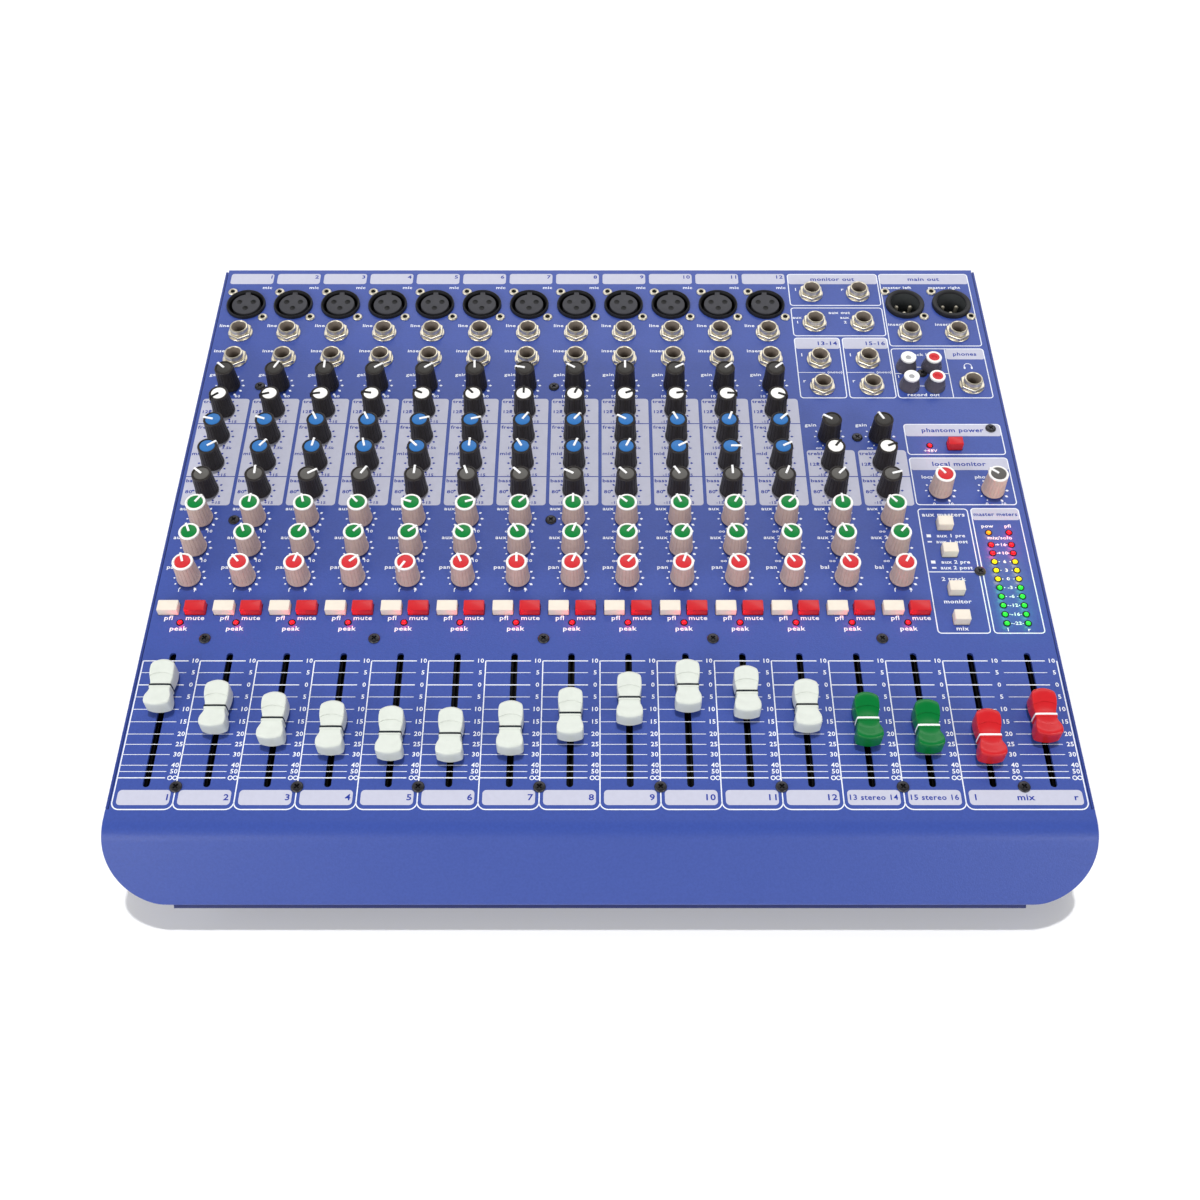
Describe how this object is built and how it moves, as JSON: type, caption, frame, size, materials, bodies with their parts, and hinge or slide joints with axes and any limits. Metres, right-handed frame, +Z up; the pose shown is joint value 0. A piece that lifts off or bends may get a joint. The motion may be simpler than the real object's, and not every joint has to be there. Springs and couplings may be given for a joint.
{
  "type": "mixing console",
  "caption": "Table-top audio mixing console with a sloped blue steel panel, rows of rotary knobs, push buttons, slide faders, a lamp level meter and rear sockets.",
  "frame": {"origin": "on the surface the console stands on, below the middle of its overall box", "axes": "+X to the operator's right, +Y away from the operator towards the sockets, +Z up"},
  "size_m": [0.4446, 0.3809, 0.0955],
  "materials": {
    "panel_paint": "satin powder coat",
    "tray_paint": "satin powder coat",
    "nickel": "bright nickel plate",
    "socket_black": "moulded",
    "black_knob": "soft-touch moulded",
    "tan_knob": "soft-touch moulded",
    "white_plastic": "satin moulded",
    "green_plastic": "satin moulded",
    "red_plastic": "satin moulded",
    "ivory_plastic": "satin moulded",
    "board": "solder resist",
    "supply_steel": "zinc-plated",
    "foot_rubber": "matt",
    "lamp_lens": "clear tinted"
  },
  "bodies": {
    "console": {"aux1_knob_row": "tan_knob", "aux2_knob_row": "tan_knob", "bass_knob_row": "black_knob", "button_row": "ivory_plastic", "chassis_tray": "tray_paint", "fader_board": "board", "foot_back_left": "foot_rubber", "foot_back_right": "foot_rubber", "foot_front_left": "foot_rubber", "foot_front_right": "foot_rubber", "freq_knob_row": "black_knob", "gain_knob_row": "black_knob", "insert_jack_row": "nickel", "line_jack_row": "nickel", "main_board": "board", "master_jack_block": "nickel", "meter_lamp_block": "lamp_lens", "mid_knob_row": "black_knob", "pan_knob_row": "tan_knob", "power_inlet": "socket_black", "power_supply": "supply_steel", "rca_block": "socket_black", "top_panel": "panel_paint", "treble_knob_row": "black_knob", "xlr_female_row": "socket_black", "xlr_male_pair": "nickel"},
    "fader_1": {"fader_1": "white_plastic"},
    "fader_2": {"fader_2": "white_plastic"},
    "fader_3": {"fader_3": "white_plastic"},
    "fader_4": {"fader_4": "white_plastic"},
    "fader_5": {"fader_5": "white_plastic"},
    "fader_6": {"fader_6": "white_plastic"},
    "fader_7": {"fader_7": "white_plastic"},
    "fader_8": {"fader_8": "white_plastic"},
    "fader_9": {"fader_9": "white_plastic"},
    "fader_10": {"fader_10": "white_plastic"},
    "fader_11": {"fader_11": "white_plastic"},
    "fader_12": {"fader_12": "white_plastic"},
    "fader_13_14": {"fader_13_14": "green_plastic"},
    "fader_15_16": {"fader_15_16": "green_plastic"},
    "fader_left": {"fader_left": "red_plastic"},
    "fader_right": {"fader_right": "red_plastic"},
    "pan_knob_1": {"pan_knob_1": "tan_knob"},
    "aux2_knob_1": {"aux2_knob_1": "tan_knob"},
    "aux1_knob_1": {"aux1_knob_1": "tan_knob"},
    "bass_knob_1": {"bass_knob_1": "black_knob"},
    "mid_knob_1": {"mid_knob_1": "black_knob"},
    "freq_knob_1": {"freq_knob_1": "black_knob"},
    "treble_knob_1": {"treble_knob_1": "black_knob"},
    "gain_knob_1": {"gain_knob_1": "black_knob"},
    "local_monitor_knob": {"local_monitor_knob": "tan_knob"},
    "phones_knob": {"phones_knob": "tan_knob"},
    "listen_button_1": {"listen_button_1": "ivory_plastic"},
    "mute_button_1": {"mute_button_1": "red_plastic"},
    "aux1_listen_button": {"aux1_listen_button": "ivory_plastic"},
    "aux2_listen_button": {"aux2_listen_button": "ivory_plastic"},
    "two_track_monitor_button": {"two_track_monitor_button": "ivory_plastic"},
    "mix_monitor_button": {"mix_monitor_button": "ivory_plastic"},
    "phantom_power_button": {"phantom_power_button": "red_plastic"},
    "power_rocker": {"power_rocker": "socket_black"}
  },
  "joints": [
    {"name": "fader_1_slide", "type": "slide", "parent": "console", "child": "fader_1", "axis": [0, 0.993, 0.1184], "range_m": [-0.0436, 0.0164]},
    {"name": "fader_2_slide", "type": "slide", "parent": "console", "child": "fader_2", "axis": [0, 0.993, 0.1184], "range_m": [-0.0323, 0.0277]},
    {"name": "fader_3_slide", "type": "slide", "parent": "console", "child": "fader_3", "axis": [0, 0.993, 0.1184], "range_m": [-0.0259, 0.0341]},
    {"name": "fader_4_slide", "type": "slide", "parent": "console", "child": "fader_4", "axis": [0, 0.993, 0.1184], "range_m": [-0.0212, 0.0388]},
    {"name": "fader_5_slide", "type": "slide", "parent": "console", "child": "fader_5", "axis": [0, 0.993, 0.1184], "range_m": [-0.0184, 0.0416]},
    {"name": "fader_6_slide", "type": "slide", "parent": "console", "child": "fader_6", "axis": [0, 0.993, 0.1184], "range_m": [-0.0177, 0.0423]},
    {"name": "fader_7_slide", "type": "slide", "parent": "console", "child": "fader_7", "axis": [0, 0.993, 0.1184], "range_m": [-0.0212, 0.0388]},
    {"name": "fader_8_slide", "type": "slide", "parent": "console", "child": "fader_8", "axis": [0, 0.993, 0.1184], "range_m": [-0.0284, 0.0316]},
    {"name": "fader_9_slide", "type": "slide", "parent": "console", "child": "fader_9", "axis": [0, 0.993, 0.1184], "range_m": [-0.0368, 0.0232]},
    {"name": "fader_10_slide", "type": "slide", "parent": "console", "child": "fader_10", "axis": [0, 0.993, 0.1184], "range_m": [-0.0437, 0.0163]},
    {"name": "fader_11_slide", "type": "slide", "parent": "console", "child": "fader_11", "axis": [0, 0.993, 0.1184], "range_m": [-0.0402, 0.0198]},
    {"name": "fader_12_slide", "type": "slide", "parent": "console", "child": "fader_12", "axis": [0, 0.993, 0.1184], "range_m": [-0.0329, 0.0271]},
    {"name": "fader_13_14_slide", "type": "slide", "parent": "console", "child": "fader_13_14", "axis": [0, 0.993, 0.1184], "range_m": [-0.0258, 0.0342]},
    {"name": "fader_15_16_slide", "type": "slide", "parent": "console", "child": "fader_15_16", "axis": [0, 0.993, 0.1184], "range_m": [-0.022, 0.038]},
    {"name": "fader_left_slide", "type": "slide", "parent": "console", "child": "fader_left", "axis": [0, 0.993, 0.1184], "range_m": [-0.017, 0.043]},
    {"name": "fader_right_slide", "type": "slide", "parent": "console", "child": "fader_right", "axis": [0, 0.993, 0.1184], "range_m": [-0.0278, 0.0322]},
    {"name": "pan_knob_1_turn", "type": "hinge", "parent": "console", "child": "pan_knob_1", "pos_m": [-0.2055, -0.03215, 0.06483], "axis": [0, -0.1184, 0.993], "range_deg": [-169, 131]},
    {"name": "aux2_knob_1_turn", "type": "hinge", "parent": "console", "child": "aux2_knob_1", "pos_m": [-0.2055, -0.01358, 0.06704], "axis": [0, -0.1184, 0.993], "range_deg": [-174, 126]},
    {"name": "aux1_knob_1_turn", "type": "hinge", "parent": "console", "child": "aux1_knob_1", "pos_m": [-0.2055, 0.00499, 0.06926], "axis": [0, -0.1184, 0.993], "range_deg": [-119, 181]},
    {"name": "bass_knob_1_turn", "type": "hinge", "parent": "console", "child": "bass_knob_1", "pos_m": [-0.2055, 0.02356, 0.07147], "axis": [0, -0.1184, 0.993], "range_deg": [-200, 100]},
    {"name": "mid_knob_1_turn", "type": "hinge", "parent": "console", "child": "mid_knob_1", "pos_m": [-0.2055, 0.04213, 0.07369], "axis": [0, -0.1184, 0.993], "range_deg": [-97, 203]},
    {"name": "freq_knob_1_turn", "type": "hinge", "parent": "console", "child": "freq_knob_1", "pos_m": [-0.2055, 0.06069, 0.0759], "axis": [0, -0.1184, 0.993], "range_deg": [-227, 73]},
    {"name": "treble_knob_1_turn", "type": "hinge", "parent": "console", "child": "treble_knob_1", "pos_m": [-0.2055, 0.07926, 0.07811], "axis": [0, -0.1184, 0.993], "range_deg": [-280, 20]},
    {"name": "gain_knob_1_turn", "type": "hinge", "parent": "console", "child": "gain_knob_1", "pos_m": [-0.2055, 0.09783, 0.08033], "axis": [0, -0.1184, 0.993], "range_deg": [-196, 104]},
    {"name": "local_monitor_knob_turn", "type": "hinge", "parent": "console", "child": "local_monitor_knob", "pos_m": [0.1781, 0.02356, 0.07147], "axis": [0, -0.1184, 0.993], "range_deg": [-184, 116]},
    {"name": "phones_knob_turn", "type": "hinge", "parent": "console", "child": "phones_knob", "pos_m": [0.2055, 0.02356, 0.07147], "axis": [0, -0.1184, 0.993], "range_deg": [-200, 100]},
    {"name": "listen_button_1_press", "type": "slide", "parent": "console", "child": "listen_button_1", "axis": [0, 0.1184, -0.993], "range_m": [0, 0.0025], "stiffness_N_per_m": 300},
    {"name": "mute_button_1_press", "type": "slide", "parent": "console", "child": "mute_button_1", "axis": [0, 0.1184, -0.993], "range_m": [0, 0.0025], "stiffness_N_per_m": 300},
    {"name": "aux1_listen_button_press", "type": "slide", "parent": "console", "child": "aux1_listen_button", "axis": [0, 0.1184, -0.993], "range_m": [0, 0.0025], "stiffness_N_per_m": 300},
    {"name": "aux2_listen_button_press", "type": "slide", "parent": "console", "child": "aux2_listen_button", "axis": [0, 0.1184, -0.993], "range_m": [0, 0.0025], "stiffness_N_per_m": 300},
    {"name": "two_track_monitor_button_press", "type": "slide", "parent": "console", "child": "two_track_monitor_button", "axis": [0, 0.1184, -0.993], "range_m": [0, 0.0025], "stiffness_N_per_m": 300},
    {"name": "mix_monitor_button_press", "type": "slide", "parent": "console", "child": "mix_monitor_button", "axis": [0, 0.1184, -0.993], "range_m": [0, 0.0025], "stiffness_N_per_m": 300},
    {"name": "phantom_power_button_press", "type": "slide", "parent": "console", "child": "phantom_power_button", "axis": [0, 0.1184, -0.993], "range_m": [0, 0.0025], "stiffness_N_per_m": 300},
    {"name": "power_rocker_tilt", "type": "hinge", "parent": "console", "child": "power_rocker", "pos_m": [0.1645, 0.1856, 0.045], "axis": [1, 0, 0], "range_deg": [0, 20]}
  ]
}
